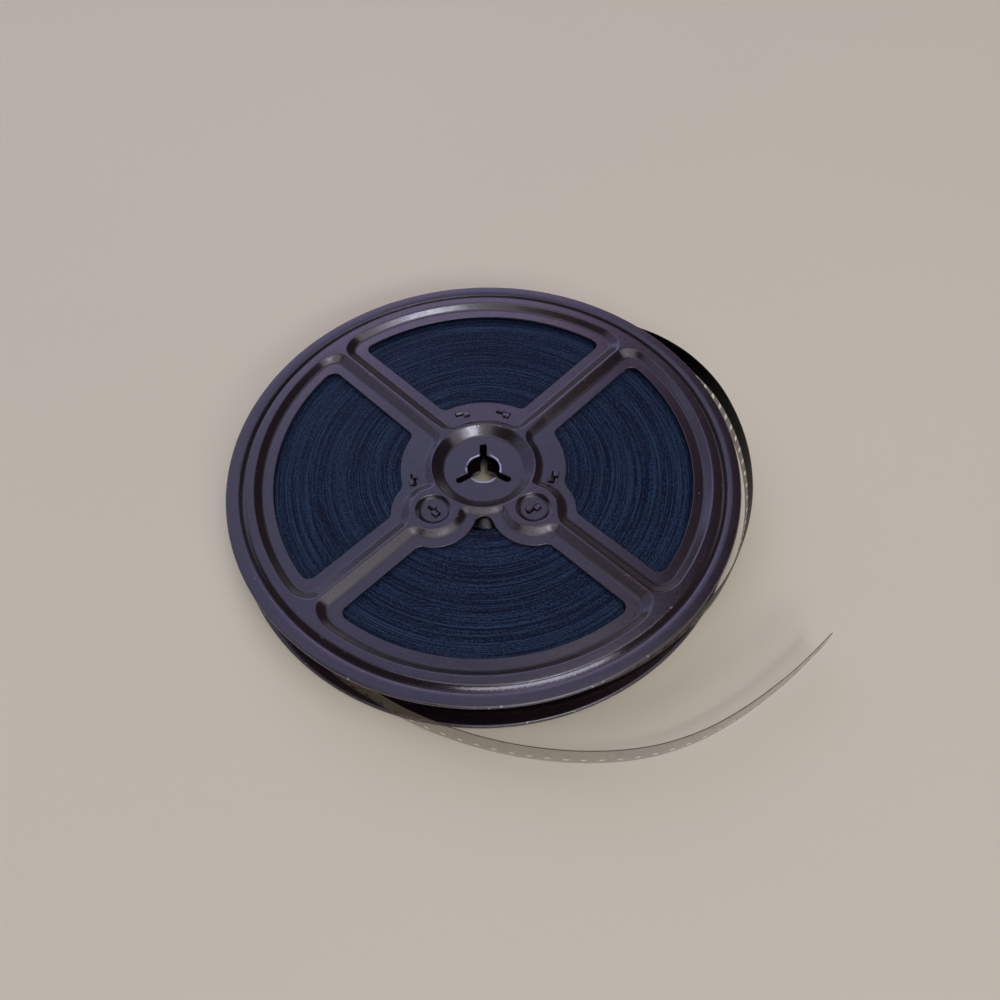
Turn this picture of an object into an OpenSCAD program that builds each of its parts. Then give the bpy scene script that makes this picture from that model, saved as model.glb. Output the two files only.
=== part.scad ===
// A cine film reel: two pressed steel flanges clinched to a rolled core band,
// with a wound film on it and the loose end of that film standing round the rims.
// Millimetres. The reel lies flat: Z is its axle, Z = 0 the surface it rests on.

/* [Reel] */
// Diameter over the folded rims
reel_d = 127; // [115:0.5:150]
// Distance between the middles of the two rims, along the axle
rim_gap = 12.4; // [12:0.1:16]
// Thickness of the flange and core sheet
sheet = 0.5; // [0.4:0.05:0.7]

/* [Rim] */
// Width of the hem folded back over the rim
hem_w = 2.75; // [1.5:0.05:4]
// Groove between the raw edge of the hem and the ridge
hem_groove = 0.3; // [0.2:0.05:0.8]
// Height of the ridge crest above the middle of the rim
ridge_h = 0.6; // [0.3:0.05:1.2]
// Width of the flat ridge crest
ridge_w = 2.1; // [1:0.1:4]
// Width of each sloping side of the ridge
ridge_run = 1.8; // [1:0.1:3]
// Width of the flat lip between the ridge and the windows
lip_w = 2.65; // [1.5:0.05:5]
// Depth of that lip below the middle of the rim
lip_drop = 0.72; // [0.4:0.02:1.2]

/* [Spokes and windows] */
// Angle of the first of the four spokes
spoke_a = 45; // [40:1:50]
// Width of a spoke from window to window
spoke_w = 11; // [9:0.25:14]
// Width of the flat top of a spoke's rib
rib_w = 1.8; // [1:0.1:3]
// Sideways run of a rib's flank for each millimetre that it falls
rib_flare = 1.35; // [0.8:0.05:1.6]
// Radius of the windows' outer corners
corner_r = 2.2; // [1:0.1:4]
// Radius of the fillets at the feet of the spokes
foot_r = 2.0; // [1:0.1:3]

/* [Hub] */
// Diameter of the flat hub plate
plate_d = 41.6; // [40:0.2:46]
// Depth of the hub plate below the middle of the rim
plate_drop = 1.45; // [1.2:0.05:1.6]
// Diameter of the boss crest, measured at its middle
boss_d = 25.4; // [22:0.2:27]
// Width of the boss crest
boss_w = 1.2; // [0.8:0.1:2]
// Depth of the boss crest below the middle of the rim
boss_drop = 0.75; // [0.5:0.05:1]
// Sideways run of the boss's outer flank
boss_run = 1.0; // [0.6:0.1:1.6]
// Diameter of the sunken disc inside the boss
disc_d = 20.2; // [18:0.2:21]
// Depth of that disc below the middle of the rim
disc_drop = 2.5; // [2:0.05:3]
// Diameter of the spindle hole
spindle_d = 8.1; // [7.5:0.05:9]
// Width of a keyway
key_w = 1.7; // [1.2:0.1:1.8]
// Distance of a keyway's tip from the axle
key_tip = 7.8; // [6.5:0.1:8.5]

/* [Lobes and dimples] */
// Radius of the lobe of sheet round each dimple
lobe_r = 10.5; // [9.5:0.1:11]
// Radius of the raised pad round a dimple, at its top
pad_r = 6.4; // [6:0.1:7]
// Radius of a dimple's mouth
dimple_r = 4.9; // [4.5:0.1:5.4]
// Radius of a dimple's floor
dimple_floor_r = 3.2; // [3.05:0.05:3.6]
// Radius of the round end of the notch between the lobes
notch_r = 2.2; // [1.9:0.1:2.6]

/* [Core band] */
// Radius of the middle of the core band's sheet
core_r = 17.8; // [17.3:0.1:18.3]
// Half of the angle between the two tabs of a pair
tab_spread = 17.5; // [16:0.5:19]
// Width of a clinched tab
tab_w = 3.4; // [2.8:0.1:3.8]
// Length of a tab's ears, which lie bent over on the flange
ear_l = 0.95; // [0.6:0.05:1.2]
// Clearance round a tab in its slot
tab_clear = 0.2; // [0.1:0.05:0.3]
// Clearance where the band and its ears seat on the flanges
seat_clear = 0.05; // [0.02:0.01:0.1]
// Width of the gap in the band where the film's inner end goes in
film_gap_w = 10; // [7:0.5:12]

/* [Film] */
// Width of the film
film_w = 8; // [7.5:0.1:8.3]
// Thickness of the loose film
film_t = 0.16; // [0.12:0.02:0.25]
// Diameter of the wound film
pack_d = 114; // [60:0.5:114.5]
// Modelled turns of the wound film, each standing for many thin ones
turns = 23; // [8:1:24]
// Space between two modelled turns
turn_gap = 0.48; // [0.42:0.01:0.7]
// Clearance of the wound film round the core band
wind_clear = 0.3; // [0.2:0.05:0.6]

/* [Hidden] */
$fn = 96;
far = 200;                                  // longer than any cut needs
half_gap = rim_gap / 2;
mid_z = half_gap + ridge_h;                 // middle of the film above the table

// radii of the flange, from the rim inwards
rim_r = reel_d / 2;
fold_r = rim_r - sheet;                     // centre of the hem's bend
hem_r = rim_r - hem_w;
ridge_foot_out = hem_r - hem_groove;
crest_out = ridge_foot_out - ridge_run;
crest_in = crest_out - ridge_w;
ridge_foot_in = crest_in - ridge_run;
window_r = ridge_foot_in - lip_w;
plate_r = plate_d / 2;
boss_in = (boss_d - boss_w) / 2;
boss_out = (boss_d + boss_w) / 2;
boss_foot = boss_out + boss_run;
half_spoke = spoke_w / 2;

// angles: windows lie between the spokes, tabs in pairs at the keyways
spokes = [for (k = [0:3]) spoke_a + 90 * k];
windows = [for (a = spokes) a + 45];
keyways = [90, 210, 330];
tabs = [for (a = keyways) for (s = [-1, 1]) a + s * tab_spread];
notch_a = 270;
lobe_angles = [keyways[1] + tab_spread, keyways[2] - tab_spread];
lobes = [for (a = lobe_angles) core_r * dir(a)];
lobe_drop = notch_a - lobe_angles[0];       // angle from a lobe to the notch
notch_y = core_r * cos(lobe_drop)
    + sqrt(pow(lobe_r + notch_r, 2) - pow(core_r * sin(lobe_drop), 2));
notch = notch_y * dir(notch_a);

// core band and winding
plate_z = half_gap - plate_drop;            // outer face of a hub plate, from the middle
band_h = 2 * (plate_z - sheet - seat_clear);
wind_r = core_r + sheet / 2 + wind_clear;
pitch = floor(100 * (pack_d / 2 - wind_r + turn_gap) / (turns + 1)) / 100;
band_t = pitch - turn_gap;
wind_a = 278;                               // where the winding starts
film_gap_a = film_gap_w / core_r * 180 / PI;

// route of the loose film, chosen by hand: angle round the axle and distance from it
route = [
    [-125, 57.8], [-112, 58.0], [-99, 58.4], [-86, 59.0], [-74, 59.8], [-63, 60.8],
    [-53, 61.7], [-43, 62.8], [-33, 64.3], [-22, 65.4], [-11, 66.5], [0, 67.4],
    [11, 68.2], [22, 68.9], [32, 68.6], [41, 67.2], [49, 65.0], [58, 63.0],
    [69, 61.7], [82, 61.0], [98, 60.6], [116, 60.4], [136, 60.3], [157, 60.3],
    [178, 60.4], [199, 60.6], [219, 61.0], [236, 61.6], [246, 62.6], [256, 64.9],
    [266, 67.6], [276, 71.0], [286, 75.0], [295, 78.8], [303, 81.6], [311, 83.8],
    [320, 86.6], [328.5, 90.0]
];
steps = 3;                                  // rings for each stretch of the route

function dir(a) = [cos(a), sin(a)];
function turned(p, a) = [p[0] * cos(a) - p[1] * sin(a), p[0] * sin(a) + p[1] * cos(a)];

// centre of a circle of radius r that touches, from outside, the circle (c, cr)
// and the line v = side * half_spoke, in a spoke's own frame
function foot_centre(c, cr, r, side) = let (v = side * (half_spoke + r))
    [c[0] + sqrt(pow(cr + r, 2) - pow(v - c[1], 2)), v];

// the same for a window's outer corner, inside the circle of radius cr
function corner_centre(cr, r, side) = let (v = side * (half_spoke + r))
    [sqrt(pow(cr - r, 2) - pow(v, 2)), v];

// one of the two points at distances ra from a and rb from b
function meet(a, ra, b, rb, side) = let (
    d = norm(b - a), along = (d * d + ra * ra - rb * rb) / (2 * d),
    off = sqrt(ra * ra - along * along), e = (b - a) / d)
    a + along * e + side * off * [-e[1], e[0]];

function towards(a, b, d) = a + d * (b - a) / norm(b - a);

// a round in a corner of a window: its radius, its centre, where it meets the two edges,
// and the points behind the corner, inside the sheet
function round_at(r, m, t1, t2, behind, angle = 0) =
    concat([r], [for (p = concat([m, t1, t2], behind)) turned(p, angle)]);

// between a spoke's edge and a round of the hub
function foot_round(angle, c, cr, side) = let (
    m = foot_centre(c, cr, foot_r, side), inner = side * (half_spoke - 1))
    round_at(foot_r, m, [m[0], side * half_spoke], towards(c, m, cr),
        [[c[0] + sqrt(pow(cr - 1, 2) - pow(inner - c[1], 2)), inner]], angle);

// in a window's outer corner
function corner_round(angle, side) = let (
    m = corner_centre(window_r, corner_r, side), inner = side * (half_spoke - 1))
    round_at(corner_r, m, [m[0], side * half_spoke], towards([0, 0], m, window_r),
        [[sqrt(pow(window_r + 1, 2) - inner * inner), inner]], angle);

// between the hub plate and a lobe
function lobe_round(k) = let (
    r = 2 * foot_r, side = k == 0 ? -1 : 1,
    m = meet([0, 0], plate_r + r, lobes[k], lobe_r + r, side))
    round_at(r, m, towards([0, 0], m, plate_r), towards(lobes[k], m, lobe_r),
        [meet([0, 0], plate_r - 0.5, lobes[k], lobe_r - 0.5, side)]);

rounds = concat(
    [for (k = [0, 1], s = [-1, 1]) foot_round(spokes[k], [0, 0], plate_r, s)],
    [for (k = [0, 1], s = [-1, 1])
        foot_round(spokes[2 + k], turned(lobes[k], -spokes[2 + k]), lobe_r, s)],
    [for (k = [0, 1]) lobe_round(k)],
    [for (a = spokes, s = [-1, 1]) corner_round(a, s)],
    [round_at(notch_r, notch, towards(lobes[0], notch, lobe_r), towards(lobes[1], notch, lobe_r),
        [lobes[1], [0, 0], lobes[0]])]);
bite = 0.004;                               // how far a round cuts across the edges it meets

// sheet that fills a corner, up to the chord of its round
module corner_fill(q) {
    along = 0.3 * (q[3] - q[2]) / norm(q[3] - q[2]);
    polygon(concat([q[2] - along, q[3] + along], [for (k = [4:len(q) - 1]) q[k]]));
}

// the space between two spokes
module wedge(angle) {
    rotate(angle) translate([half_spoke * sqrt(2), 0]) polygon([[0, 0], [far, -far], [far, far]]);
}

// plan of the windows: all between the spokes that isn't hub, with rounded corners
module window_plan() {
    difference() {
        intersection() {
            circle(window_r);
            union() for (a = windows) wedge(a);
        }
        difference() {
            circle(plate_r);
            wedge(notch_a);
        }
        for (c = lobes) translate(c) circle(lobe_r);
        for (q = rounds) corner_fill(q);
    }
    for (q = rounds) translate(q[1]) circle(q[0] + bite);
}

module spindle_plan() {
    circle(d = spindle_d);
    for (a = keyways) rotate(a) {
        translate([0, -key_w / 2]) square([key_tip - key_w / 2, key_w]);
        translate([key_tip - key_w / 2, 0]) circle(d = key_w);
    }
}

module slot_plan(clear) {
    for (a = tabs) rotate(a) translate([core_r, 0])
        square([sheet + 2 * clear, tab_w + 2 * clear], center = true);
}

// solid under the pressed outer face of a flange, the rim's middle at Z = 0
module terrain() {
    difference() {
        union() {
            rotate_extrude() polygon([
                [0, -far / 20], [0, -disc_drop], [disc_d / 2, -disc_drop],
                [boss_in, -boss_drop], [boss_out, -boss_drop], [boss_foot, -plate_drop],
                [plate_r, -plate_drop], [window_r, -lip_drop], [ridge_foot_in, -lip_drop],
                [crest_in, ridge_h], [crest_out, ridge_h], [ridge_foot_out, 0],
                [rim_r + 1, 0], [rim_r + 1, -far / 20]
            ]);
            for (a = spokes) rotate(a) rib();
            for (c = lobes) translate([c[0], c[1], -far / 20]) {
                h = far / 20 - boss_drop;
                cylinder(h, pad_r + h * rib_flare, pad_r);
            }
        }
        for (c = lobes) translate([c[0], c[1], -plate_drop])
            cylinder(2 * (plate_drop - boss_drop), dimple_floor_r,
                2 * dimple_r - dimple_floor_r);
    }
}

// a spoke's rib, rising from the boss to the ridge
module rib() {
    start = (boss_in + boss_out) / 2;
    end = (crest_in + crest_out) / 2;
    rise = ridge_h + boss_drop;
    deep = 2.5;
    translate([start, 0, -boss_drop]) rotate([0, -atan(rise / (end - start)), 0])
        rotate([90, 0, 90]) linear_extrude(norm([end - start, rise]))
            polygon([[-rib_w / 2, 0], [rib_w / 2, 0],
                [rib_w / 2 + deep * rib_flare, -deep], [-rib_w / 2 - deep * rib_flare, -deep]]);
}

// one pressed flange, its outer face up and the rim's middle at Z = 0
module flange() {
    difference() {
        intersection() {
            difference() {
                terrain();
                translate([0, 0, -sheet]) terrain();
            }
            cylinder(far / 10, r = fold_r, center = true);
        }
        translate([0, 0, -far / 20]) linear_extrude(far / 10) {
            window_plan();
            spindle_plan();
            slot_plan(tab_clear);
        }
    }
    rotate_extrude() {
        translate([hem_r, 0]) square([fold_r - hem_r, sheet]);
        translate([fold_r, 0]) circle(sheet);
    }
}

module upper_flange() {
    color("#4a4450") translate([0, 0, mid_z + half_gap]) flange();
}

module lower_flange() {
    color("#4a4450") translate([0, 0, mid_z - half_gap]) mirror([0, 0, 1]) flange();
}

// band rolled to a drum, its tabs split and bent over outside both flanges
module core_band() {
    color("#4d4652") translate([0, 0, mid_z]) {
        difference() {
            cylinder(band_h, r = core_r + sheet / 2, center = true);
            cylinder(2 * band_h, r = core_r - sheet / 2, center = true);
            rotate(notch_a) translate([0, -film_gap_w / 2, -band_h]) cube([far, film_gap_w, 2 * band_h]);
        }
        for (side = [0, 1]) mirror([0, 0, side]) for (a = tabs) rotate(a) tab();
    }
}

module tab() {
    root = band_h / 2 - 1;
    top = plate_z + seat_clear + sheet;
    translate([core_r - sheet / 2, -tab_w / 2, root]) cube([sheet, tab_w, top - root]);
    for (s = [0, 1]) mirror([0, s, 0]) translate([core_r, 0, top - sheet])
        translate([s == 0 ? -sheet / 2 : -sheet / 2 - ear_l, 0.1, 0])
            cube([sheet + ear_l, tab_w / 2 - 0.1, sheet]);
}

// the wound film: half turns about two centres, one unbroken spiral band
module film_roll() {
    color("#1d2738") translate([0, 0, mid_z]) rotate(wind_a) {
        for (k = [0:2 * turns - 1]) {
            r = wind_r + k * pitch / 2;
            translate([k % 2 == 0 ? 0 : pitch / 2, 0, 0]) rotate(k % 2 == 0 ? 0 : 180)
                rotate_extrude(angle = 180) translate([r, -film_w / 2]) square([band_t, film_w]);
        }
        tongue();
    }
}

// the film's inner end, going in through the gap of the core band
root_r = wind_r + 0.1;                      // the tongue's inner face where it leaves the band
function tongue_at(k) = let (t = k / 12, fall = t * t * (3 - 2 * t))
    (root_r + film_t - (root_r - core_r + sheet / 2 + 2 * film_t + 0.8) * fall) * dir(-30 * t);

module tongue() {
    outer = [for (k = [0:12]) let (p = tongue_at(k)) p * (1 + film_t / norm(p))];
    inner = [for (k = [12:-1:0]) let (p = tongue_at(k)) p * (1 - film_t / norm(p))];
    translate([0, 0, -film_w / 2]) linear_extrude(film_w)
        polygon(concat([root_r * dir(2), (root_r + 2 * film_t) * dir(2)], outer, inner));
}

// smooth curve through the route's points
function on_route(k) = route[k][1] * dir(route[k][0]);
function blend(a, b, c, d, t) = 0.5 * (2 * b + (c - a) * t + (2 * a - 5 * b + 4 * c - d) * t * t
    + (3 * b - a - 3 * c + d) * t * t * t);
last = len(route) - 1;
path = concat([for (k = [0:last - 1], s = [0:steps - 1])
    blend(on_route(max(k - 1, 0)), on_route(k), on_route(k + 1), on_route(min(k + 2, last)),
        s / steps)], [on_route(last)]);
rings = len(path);
function heading(k) = let (d = path[min(k + 1, rings - 1)] - path[max(k - 1, 0)]) d / norm(d);

// loose end of the film: a ribbon on edge, four corners for each ring
module film_tail() {
    points = [for (k = [0:rings - 1]) let (n = film_t / 2 * [-heading(k)[1], heading(k)[0]])
        for (c = [[1, -1], [1, 1], [-1, 1], [-1, -1]])
            [path[k][0] + c[0] * n[0], path[k][1] + c[0] * n[1], mid_z + c[1] * film_w / 2]];
    sides = [for (k = [0:rings - 2], c = [0:3]) let (a = 4 * k + c, b = 4 * k + (c + 1) % 4)
        each [[a, b, a + 4], [b, b + 4, a + 4]]];
    end = 4 * (rings - 1);
    color("#8c8272") polyhedron(points,
        concat([[0, 2, 1], [0, 3, 2]], sides, [[end, end + 1, end + 2], [end, end + 2, end + 3]]));
}

// least gaps, measured on points of the loose film and between turns of the winding
apart = 8;
tail_gap = min([for (i = [0:rings - 1], j = [i + apart:1:rings - 1]) norm(path[i] - path[j])]) - film_t;
pack_gap = min([for (p = path) norm(p)]) - film_t / 2 - pack_d / 2;
echo(tail_gap_to_itself = tail_gap, tail_gap_to_winding = pack_gap, winding_gap_to_itself = turn_gap);
tail_length = [for (k = 0, s = 0; k < rings; k = k + 1,
    s = k < rings ? s + norm(path[k] - path[k - 1]) : s) s][rings - 1];
echo(tail_length = tail_length);

upper_flange();
lower_flange();
core_band();
film_roll();
film_tail();
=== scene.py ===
import math
import bmesh
import bpy
import numpy as np
from mathutils import Matrix, Vector, kdtree
from mathutils.geometry import delaunay_2d_cdt


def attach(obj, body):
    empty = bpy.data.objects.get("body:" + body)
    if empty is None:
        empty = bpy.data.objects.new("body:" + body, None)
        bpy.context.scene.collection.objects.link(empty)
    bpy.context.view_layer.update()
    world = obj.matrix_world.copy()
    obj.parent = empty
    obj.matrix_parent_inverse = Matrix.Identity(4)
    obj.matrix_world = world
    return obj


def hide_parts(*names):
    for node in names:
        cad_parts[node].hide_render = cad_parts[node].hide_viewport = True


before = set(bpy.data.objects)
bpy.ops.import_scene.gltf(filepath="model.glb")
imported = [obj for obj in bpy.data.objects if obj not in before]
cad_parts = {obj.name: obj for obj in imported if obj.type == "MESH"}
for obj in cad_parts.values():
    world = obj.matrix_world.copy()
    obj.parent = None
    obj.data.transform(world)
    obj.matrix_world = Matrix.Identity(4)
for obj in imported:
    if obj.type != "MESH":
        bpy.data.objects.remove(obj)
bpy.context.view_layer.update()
scene = bpy.context.scene
scene.view_settings.view_transform = "Standard"
mm = 0.001  # the reel's sizes below are in millimetres
print("frame loaded:", ", ".join(sorted(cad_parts)))


class Wire:  # a socket in a material's node tree, with arithmetic
    def __init__(self, tree, socket=None):
        self.tree, self.socket = tree, socket

    def feed(self, node, inputs):  # wires and constants alike
        for name, value in inputs.items():
            if isinstance(value, Wire):
                self.tree.links.new(value.socket, node.inputs[name])
            else:
                node.inputs[name].default_value = value

    def add(self, kind, settings, inputs, out=0):  # any node: its settings, then its sockets
        node = self.tree.nodes.new("ShaderNode" + kind)
        for name, value in settings.items():
            setattr(node, name, value)
        self.feed(node, inputs)
        return Wire(self.tree, node.outputs[out])

    def maths(self, operation, *values):
        return self.add("Math", {"operation": operation}, dict(enumerate(values)))

    def __add__(self, other):
        return self.maths("ADD", self, other)

    def __sub__(self, other):
        return self.maths("SUBTRACT", self, other)

    def __rsub__(self, other):
        return self.maths("SUBTRACT", other, self)

    def __mul__(self, other):
        return self.maths("MULTIPLY", self, other)

    def __pow__(self, other):
        return self.maths("POWER", self, other)

    __radd__, __rmul__ = __add__, __mul__

    def between(self, low, high):  # 0 below low and 1 above high, with soft ends
        ends = {"Value": self, "From Min": low, "From Max": high}
        return self.add("MapRange", {"interpolation_type": "SMOOTHSTEP"}, ends)

    def tint(self, without, full):  # a colour between two, by this mask
        return self.add("Mix", {"data_type": "RGBA"}, {0: self, 6: without, 7: full}, 2)

    def noise(self, scale, detail, rough=0.5):
        values = {"Vector": self, "Scale": scale, "Detail": detail, "Roughness": rough}
        return self.add("TexNoise", {}, values)

    def parts(self):
        first = self.add("SeparateXYZ", {}, {0: self})
        return [Wire(self.tree, out) for out in first.socket.node.outputs]

    def joined(self, x, y):
        return self.add("CombineXYZ", {}, {0: x, 1: y})

    def place(self):  # a point's place in the part's frame
        return self.add("TexCoord", {}, {}, 3)

    def attribute(self, name):
        return self.add("Attribute", {"attribute_name": name}, {}, 2)

    def bump(self, height, depth, strength):
        return self.add("Bump", {}, {"Height": height, "Distance": depth, "Strength": strength})


def newFinish(name):
    material = bpy.data.materials.new(name)
    material.use_nodes = True
    return material, material.node_tree.nodes["Principled BSDF"], Wire(material.node_tree)


def newPiece(name, points, faces, *finishes):
    mesh = bpy.data.meshes.new(name)
    mesh.from_pydata((np.asarray(points) * mm).tolist(), [], faces)
    mesh.validate()
    for finish in finishes:
        mesh.materials.append(finish)
    mesh.shade_smooth()
    piece = bpy.data.objects.new(name, mesh)
    scene.collection.objects.link(piece)
    return piece


def faceOutwards(piece):
    mesh = bmesh.new()
    mesh.from_mesh(piece.data)
    bmesh.ops.recalc_face_normals(mesh, faces=mesh.faces)
    mesh.to_mesh(piece.data)
    mesh.free()


def setValues(piece, name, values):
    layer = piece.data.attributes.new(name, "FLOAT", "POINT")
    layer.data.foreach_set("value", np.asarray(values, np.float32))


def direction(degrees):
    return np.array((math.cos(math.radians(degrees)), math.sin(math.radians(degrees))))


def turned(point, degrees):
    c, s = direction(degrees)
    return np.array((point[0] * c - point[1] * s, point[0] * s + point[1] * c))


cameraView = {
    "lens": 30.06,
    "sensor": 36.0,  # across a square picture
    "clip": (0.01, 50.0),  # in metres
    "place": (3.99, -124.25, 180.6),
    "tilt": 56.06,  # how steeply it looks down
    "roll": -1.14,
}


def addCamera(view):
    lens = bpy.data.cameras.new("camera")
    lens.lens, lens.sensor_width = view["lens"], view["sensor"]
    lens.clip_start, lens.clip_end = view["clip"]
    camera = bpy.data.objects.new("camera", lens)
    scene.collection.objects.link(camera)
    tilt, roll = math.radians(view["tilt"]), math.radians(view["roll"])
    back = Vector((0, -math.cos(tilt), math.sin(tilt)))
    right, up = Vector((1, 0, 0)), Vector((0, math.sin(tilt), math.cos(tilt)))
    across = math.cos(roll) * right + math.sin(roll) * up
    above = math.cos(roll) * up - math.sin(roll) * right
    turn = Matrix((across, above, back)).transposed().to_4x4()
    camera.matrix_world = Matrix.Translation(Vector(view["place"]) * mm) @ turn
    scene.camera = camera


addCamera(cameraView)
print("camera placed")


looseFilm = {  # a flat strip on edge, with one row of holes along its lower edge
    "route": [  # angle round the axle and distance from it
        (-125, 57.8), (-112, 58.0), (-99, 58.4), (-86, 59.0), (-74, 59.8), (-63, 60.8),
        (-53, 61.7), (-43, 62.8), (-33, 64.3), (-22, 65.4), (-11, 66.5), (0, 67.4),
        (11, 68.2), (22, 68.9), (32, 68.6), (41, 67.2), (49, 65.0), (58, 63.0),
        (69, 61.7), (82, 61.0), (98, 60.6), (116, 60.4), (136, 60.3), (157, 60.3),
        (178, 60.4), (199, 60.6), (219, 61.0), (236, 61.6), (246, 62.6), (256, 64.9),
        (266, 67.6), (276, 71.0), (286, 75.0), (295, 78.8), (303, 81.6), (311, 83.8),
        (320, 86.6), (328.5, 90.0),
    ],
    "steps": 12,  # from one point of the route to the next
    "bottom": 2.8,
    "width": 8.0,
    "thick": 0.15,
    "pitch": 3.81,  # from hole to hole
    "hole": (1.27, 1.83),  # along and across the film
    "holeEdge": 0.9,  # from the film's edge to a hole
    "holeCorner": 0.28,
    "holeRim": 0.24,  # band of faces round a hole
    "upperRow": 5.6,  # one more row of points, above the holes
    "cup": 0.12,  # how far the film hollows across its width
    "cupMiddle": 0.4,  # share of it that its middle stands to the other side
    "aim": 0.4,  # its course is taken from this far behind to this far ahead
    "sharp": 50,  # degrees
    "fade": (0.225, 0.36),  # where along it the black ends, in metres
    "picture": ((0.355, 0.375), (0.975, 0.99)),  # the black's edges, as shares of the width
    "edgeLine": (0.972, 0.985),
    "clear": ((0.14, 0.11, 0.068, 1), (0.21, 0.17, 0.11, 1)),
    "black": (0.002, 0.002, 0.0025, 1),
    "edge": (0.035, 0.029, 0.022, 1),
}


def filmPath(route, steps):
    points = [radius * direction(angle) for angle, radius in route]
    points = [points[0]] + points + [points[-1]]
    path = []
    for k in range(len(points) - 3):
        a, b, c, d = points[k:k + 4]
        for t in np.arange(steps) / steps:
            path.append(0.5 * (2 * b + (c - a) * t + (2 * a - 5 * b + 4 * c - d) * t ** 2
                               + (3 * b - a - 3 * c + d) * t ** 3))
    return np.array(path + [points[-1]])


def filmNet(film, length):  # the strip laid flat: points along and across it, faces round its holes
    pitch, r, rim = film["pitch"], film["holeCorner"], film["holeRim"]
    holeLength, holeWidth = film["hole"]
    low, high = film["holeEdge"], film["holeEdge"] + holeWidth
    left, right = (pitch - holeLength) / 2, (pitch + holeLength) / 2
    columns = [0, left - rim, left + r, right - r, right + rim, pitch]
    rows = [0, low - rim, low + r, high - r, high + rim, film["upperRow"], film["width"]]
    cut = r * (1 - math.sqrt(0.5))
    cells = int(length / pitch)
    start = (length - cells * pitch) / 2
    flat, faces, ids = [], [], {}

    def vertex(s, v):
        key = (round(s, 4), round(v, 4))
        if key not in ids:
            ids[key] = len(flat)
            flat.append((s, v))
        return ids[key]

    for cell in range(cells):
        base = start + cell * pitch
        ends = [base + c for c in columns]
        if cell == 0:
            ends[0] = 0.0
        if cell == cells - 1:
            ends[-1] = length
        for i in range(len(columns) - 1):
            for j in range(len(rows) - 1):
                if not (1 <= i <= 3 and 1 <= j <= 3):  # a hole and its rim are there
                    spots = ((i, j), (i + 1, j), (i + 1, j + 1), (i, j + 1))
                    faces.append([vertex(ends[a], rows[b]) for a, b in spots])
        s, v = ends[1:5], rows[1:5]
        outer = [(s[0], v[1]), (s[0], v[0]), (s[1], v[0]), (s[2], v[0]), (s[3], v[0]), (s[3], v[1]),
                 (s[3], v[2]), (s[3], v[3]), (s[2], v[3]), (s[1], v[3]), (s[0], v[3]), (s[0], v[2])]
        a, b = base + left, base + right
        inner = [(a, low + r), (a + cut, low + cut), (a + r, low), (b - r, low),
                 (b - cut, low + cut), (b, low + r), (b, high - r), (b - cut, high - cut),
                 (b - r, high), (a + r, high), (a + cut, high - cut), (a, high - r)]
        outer, inner = [vertex(*p) for p in outer], [vertex(*p) for p in inner]
        for k in range(len(inner)):
            n = (k + 1) % len(inner)
            faces.append([outer[k], outer[n], inner[n], inner[k]])
    return np.array(flat), faces, cells


def addLooseFilm(film, finish):
    path = filmPath(film["route"], film["steps"])
    along = np.concatenate(([0], np.cumsum(np.linalg.norm(np.diff(path, axis=0), axis=1))))
    length, width, aim = along[-1], film["width"], film["aim"]
    flat, faces, cells = filmNet(film, length)

    def pathAt(s):
        return np.stack([np.interp(s, along, path[:, k]) for k in (0, 1)], 1)

    spot = pathAt(flat[:, 0])
    ahead = pathAt(flat[:, 0] + aim) - pathAt(flat[:, 0] - aim)
    ahead /= np.linalg.norm(ahead, axis=1)[:, None]
    side = np.stack([-ahead[:, 1], ahead[:, 0]], 1)
    hollow = film["cup"] * ((2 * flat[:, 1] / width - 1) ** 2 - film["cupMiddle"])
    sheets = []
    for offset in (0.5, -0.5):
        place = spot + side * (hollow + offset * film["thick"])[:, None]
        sheets.append(np.column_stack((place, film["bottom"] + flat[:, 1])))
    count = len(flat)
    solid = [face[::-1] for face in faces] + [[k + count for k in face] for face in faces]
    sides = dict.fromkeys((a, b) for face in faces for a, b in zip(face, face[1:] + face[:1]))
    for a, b in sides:  # walls along the film's edges, its ends and its holes
        if (b, a) not in sides:
            solid.append([a, b, b + count, a + count])
    piece = newPiece("looseFilm", np.concatenate(sheets), solid, finish)
    piece.data.set_sharp_from_angle(angle=math.radians(film["sharp"]))
    uv = np.tile(np.column_stack((flat[:, 0] * mm, flat[:, 1] / width)), (2, 1))
    corners = np.zeros(len(piece.data.loops), np.int32)
    piece.data.loops.foreach_get("vertex_index", corners)
    layer = piece.data.uv_layers.new(name="alongFilm")
    layer.data.foreach_set("uv", uv[corners].astype(np.float32).ravel())
    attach(piece, "film")
    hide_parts("film_tail")
    print("loose film:", round(length, 1), "mm,", cells, "holes")


def looseFilmFinish(film):
    material, shader, start = newFinish("looseFilmBase")
    s, v, _ = start.add("UVMap", {"uv_map": "alongFilm"}, {}).parts()
    grain = start.place().noise(900, 3)
    streaks = start.joined(s * 25, v * 60).noise(6.0, 4)  # long scratches along the film
    lowEdge, highEdge = film["picture"]
    exposed = 1 - (s + 0.02 * grain).between(*film["fade"])
    black = exposed * (v.between(*lowEdge) * (1 - v.between(*highEdge)))
    colour = black.tint(grain.tint(*film["clear"]), film["black"])
    line = v.between(*film["edgeLine"]) * 0.7  # the dark upper edge
    hazy = 0.19 + 0.10 * streaks + 0.07 * grain + black + 0.16 * exposed + line
    start.feed(shader, {
        "Base Color": line.tint(colour, film["edge"]),
        "Alpha": start.maths("MINIMUM", hazy, 1.0),
        "Roughness": 0.16 + 0.2 * streaks,
        "Normal": start.bump(streaks + 0.3 * grain, 0.02 * mm, 0.5),
        "IOR": 1.48,
        "Specular IOR Level": 0.03,
    })
    return material


addLooseFilm(looseFilm, looseFilmFinish(looseFilm))


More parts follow.
